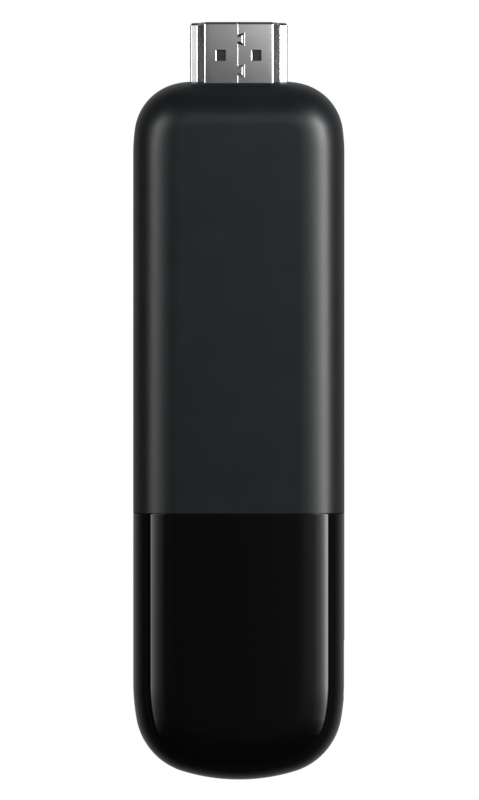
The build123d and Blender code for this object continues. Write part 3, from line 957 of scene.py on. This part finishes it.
SOFT_EDGES, SHARP_EDGES = 35, 15  # the angle, in degrees, past which an edge stays hard
replaced = [
    (front_shell(), "front_cover", "matte_housing", SOFT_EDGES),
    (front_tray(), "front_cover", "matte_housing", SOFT_EDGES),
    (front_lip(), "front_cover", "matte_housing", SOFT_EDGES),
    (glossy_cover(), "gloss_cover", "gloss_housing", SOFT_EDGES),
    (rear_shell(), "rear_cover", "matte_housing", SOFT_EDGES),
    (plug_shell(), "hdmi_shell", "plug_steel", SHARP_EDGES),
]
for piece, node, slot, hard_edge in replaced:
    smooth(piece, hard_edge)
    dress(piece, slot)
    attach(piece, "root")
    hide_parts(node)


# ---- Floor, light and camera ---------------------------------------------------------------------
FLOOR_DROP = 60 * MM
FLOOR_RADIUS = 0.45
FLOOR_SIDES = 96


def floor():
    """A plain pale round floor below the hanging stick."""
    z = BODY_BOTTOM - FLOOR_DROP
    rim = []
    for side in range(FLOOR_SIDES):
        angle = 2 * math.pi * side / FLOOR_SIDES
        rim.append((FLOOR_RADIUS * math.cos(angle), FLOOR_RADIUS * math.sin(angle), z))
    made = mesh_object("floor", rim, [tuple(range(FLOOR_SIDES))])
    paint, _, shader = material("pale_floor")
    shader.inputs["Base Color"].default_value = (0.86, 0.86, 0.86, 1)
    shader.inputs["Roughness"].default_value = 0.9
    shader.inputs["Specular IOR Level"].default_value = 0.2
    made.data.materials.append(paint)
    made.visible_glossy = False


# The studio's brightness, in stops of (place, brightness).
# Two tall soft side lights, by degrees round the horizon from the front: left is minus, right is plus.
LEFT_LIGHT = [
    (-75.3, 0.0), (-74.7, 4.3), (-72.0, 2.9), (-67.0, 1.8), (-61.0, 1.1), (-55.5, 0.66), (-50.0, 0.41),
    (-44.5, 0.25), (-40.5, 0.22), (-38.5, 0.06), (-5, 0.02),
]
RIGHT_LIGHT = [
    (0, 0.03), (4, 0.09), (13, 0.15), (28, 0.27), (38, 0.35), (42, 0.40), (43, 0.56),
    (51, 0.96), (57, 1.45), (63, 2.5), (69, 4.6), (73, 7.2), (78.4, 9.4), (79.2, 0.0),
]
BRIGHTEST = 10.0
LIGHT_LEAN = 0.75  # degrees that the side lights reach further forward for each degree up
LEAN_START = 25.0  # degrees from the front over which the lean sets in
LEAN_TOP = 40.0  # degrees up where the lean ends
# How the side lights change with the height above (+) or below (-) the horizon, in degrees.
SIDE_FADE = [
    (-35, 0.0), (-28, 0.04), (-20, 0.12), (-15, 0.23), (-12, 0.32), (-9, 0.47), (-6.5, 0.68), (-5, 0.83),
    (-1.6, 1.0), (3, 1.9), (8, 3.5), (22, 3.5), (33, 0.0),
]
STRONGEST_FADE = 3.5
# A faint glow above the front, for the plug's face, by degrees round the horizon and by degrees up.
FRONT_GLOW = [(-16, 0.0), (-5, 0.30), (7, 0.92), (20, 0.66), (36, 0.0)]
GLOW_FADE = [(4, 0.0), (8, 0.15), (15, 1.0), (26, 1.0), (33, 0.0)]
# Soft light from above, by degrees up.
OVERHEAD = [(74, 0.0), (90, 0.12)]
# A dim backdrop behind the stick, by how much of the direction is along +Y.
BACKDROP = [
    (-0.2, 0.0), (0.0, 0.05), (0.2, 0.03), (0.36, 0.09),
    (0.5, 0.17), (0.62, 0.24), (0.78, 0.34), (1.0, 0.32),
]
BACKDROP_TO_RIGHT, BACKDROP_UPWARDS = 0.16, 0.6  # how much brighter it is to the right and upwards


class Nodes:
    """Short ways to add nodes to the world's shader."""

    def __init__(self, tree):
        self.nodes, self.links = tree.nodes, tree.links

    def maths(self, operation, *values):
        """A maths node; its values are numbers or other nodes' outputs."""
        node = self.nodes.new("ShaderNodeMath")
        node.operation = operation
        for socket, value in zip(node.inputs, values):
            if isinstance(value, (int, float)):
                socket.default_value = value
            else:
                self.links.new(value, socket)
        return node.outputs[0]

    def product(self, a, b):
        """One value times another."""
        return self.maths("MULTIPLY", a, b)

    def total(self, a, b):
        """One value plus another."""
        return self.maths("ADD", a, b)

    def between(self, value, low, high):
        """The value kept within two limits."""
        return self.maths("MINIMUM", self.maths("MAXIMUM", value, low), high)

    def ramp(self, value, stops, limit, top=1.0):
        """Brightness by stops whose places lie between -limit and limit, at most top bright."""
        node = self.nodes.new("ShaderNodeValToRGB")
        bar = node.color_ramp
        bar.interpolation = "LINEAR"
        bar.elements.remove(bar.elements[-1])
        for number, (place, brightness) in enumerate(stops):
            position = (place + limit) / (2 * limit)
            element = bar.elements.new(position) if number else bar.elements[0]
            element.position = position
            element.color = (brightness / top, brightness / top, brightness / top, 1)
        share = self.maths("DIVIDE", self.total(value, limit), 2 * limit)
        self.links.new(share, node.inputs["Fac"])
        return self.product(node.outputs["Color"], top)

    def background(self, strength):
        """A white background shader of that strength."""
        node = self.nodes.new("ShaderNodeBackground")
        node.inputs["Color"].default_value = (1, 1, 1, 1)
        if isinstance(strength, (int, float)):
            node.inputs["Strength"].default_value = strength
        else:
            self.links.new(strength, node.inputs["Strength"])
        return node.outputs[0]


def studio_brightness(world):
    """How bright the studio is in each direction."""
    place = world.nodes.new("ShaderNodeTexCoord")
    split = world.nodes.new("ShaderNodeSeparateXYZ")
    world.links.new(place.outputs["Generated"], split.inputs[0])
    x, y, z = split.outputs
    azimuth = world.maths("DEGREES", world.maths("ARCTAN2", x, world.product(y, -1.0)))
    elevation = world.maths("DEGREES", world.maths("ARCSINE", z))
    to_side = world.between(world.maths("DIVIDE", azimuth, LEAN_START), -1.0, 1.0)
    lean = world.product(world.between(elevation, 0.0, LEAN_TOP), world.product(to_side, LIGHT_LEAN))
    sides = world.ramp(world.total(azimuth, lean), LEFT_LIGHT + RIGHT_LIGHT, 180, BRIGHTEST)
    sides = world.product(sides, world.ramp(elevation, SIDE_FADE, 90, STRONGEST_FADE))
    glow = world.product(world.ramp(azimuth, FRONT_GLOW, 180), world.ramp(elevation, GLOW_FADE, 90))
    overhead = world.ramp(elevation, OVERHEAD, 90)
    tilt = world.total(world.product(x, BACKDROP_TO_RIGHT), world.product(z, BACKDROP_UPWARDS))
    backdrop = world.product(world.ramp(y, BACKDROP, 1), world.total(tilt, 1.0))
    return world.total(world.total(sides, glow), world.total(overhead, backdrop))


def world_light():
    """The studio round the stick; the camera itself sees plain white."""
    made = bpy.data.worlds.new("studio")
    bpy.context.scene.world = made
    made.use_nodes = True
    made.node_tree.nodes.clear()
    world = Nodes(made.node_tree)
    path = world.nodes.new("ShaderNodeLightPath")
    mix = world.nodes.new("ShaderNodeMixShader")
    output = world.nodes.new("ShaderNodeOutputWorld")
    world.links.new(path.outputs["Is Camera Ray"], mix.inputs["Fac"])
    world.links.new(world.background(studio_brightness(world)), mix.inputs[1])
    world.links.new(world.background(1.0), mix.inputs[2])
    world.links.new(mix.outputs[0], output.inputs["Surface"])


FILL_SIZE = 20 * MM
FILL_ENERGY = 0.030
FILL_PLACE = Vector((20 * MM, -55 * MM, 28 * MM))
FILL_AIM = Vector((0, -HALF_THICKNESS, -12 * MM))


def fill_light():
    """A small lamp close above the front that only softens the plastic's shading."""
    lamp = bpy.data.lights.new("fill", "AREA")
    lamp.size = FILL_SIZE
    lamp.energy = FILL_ENERGY
    made = new_object("fill", lamp)
    made.location = FILL_PLACE
    made.rotation_euler = (FILL_AIM - FILL_PLACE).to_track_quat("-Z", "Y").to_euler()
    made.visible_glossy = False
    made.visible_camera = False


CAMERA_DISTANCE = 0.57
FRAME_HEIGHT = 114.06 * MM  # what the picture's height covers at the stick's middle plane
CAMERA_X = 0.10 * MM
CAMERA_Z = -45.34 * MM


def camera():
    """A long lens straight in front of the stick."""
    lens = bpy.data.cameras.new("camera")
    lens.sensor_width = 36.0
    lens.lens = lens.sensor_width * CAMERA_DISTANCE / FRAME_HEIGHT
    lens.clip_start, lens.clip_end = 0.05, 20.0
    made = new_object("camera", lens)
    made.location = (CAMERA_X, -CAMERA_DISTANCE, CAMERA_Z)
    made.rotation_euler = (math.pi / 2, 0, 0)
    bpy.context.scene.camera = made


floor()
world_light()
fill_light()
camera()
bpy.context.scene.view_settings.view_transform = "Standard"
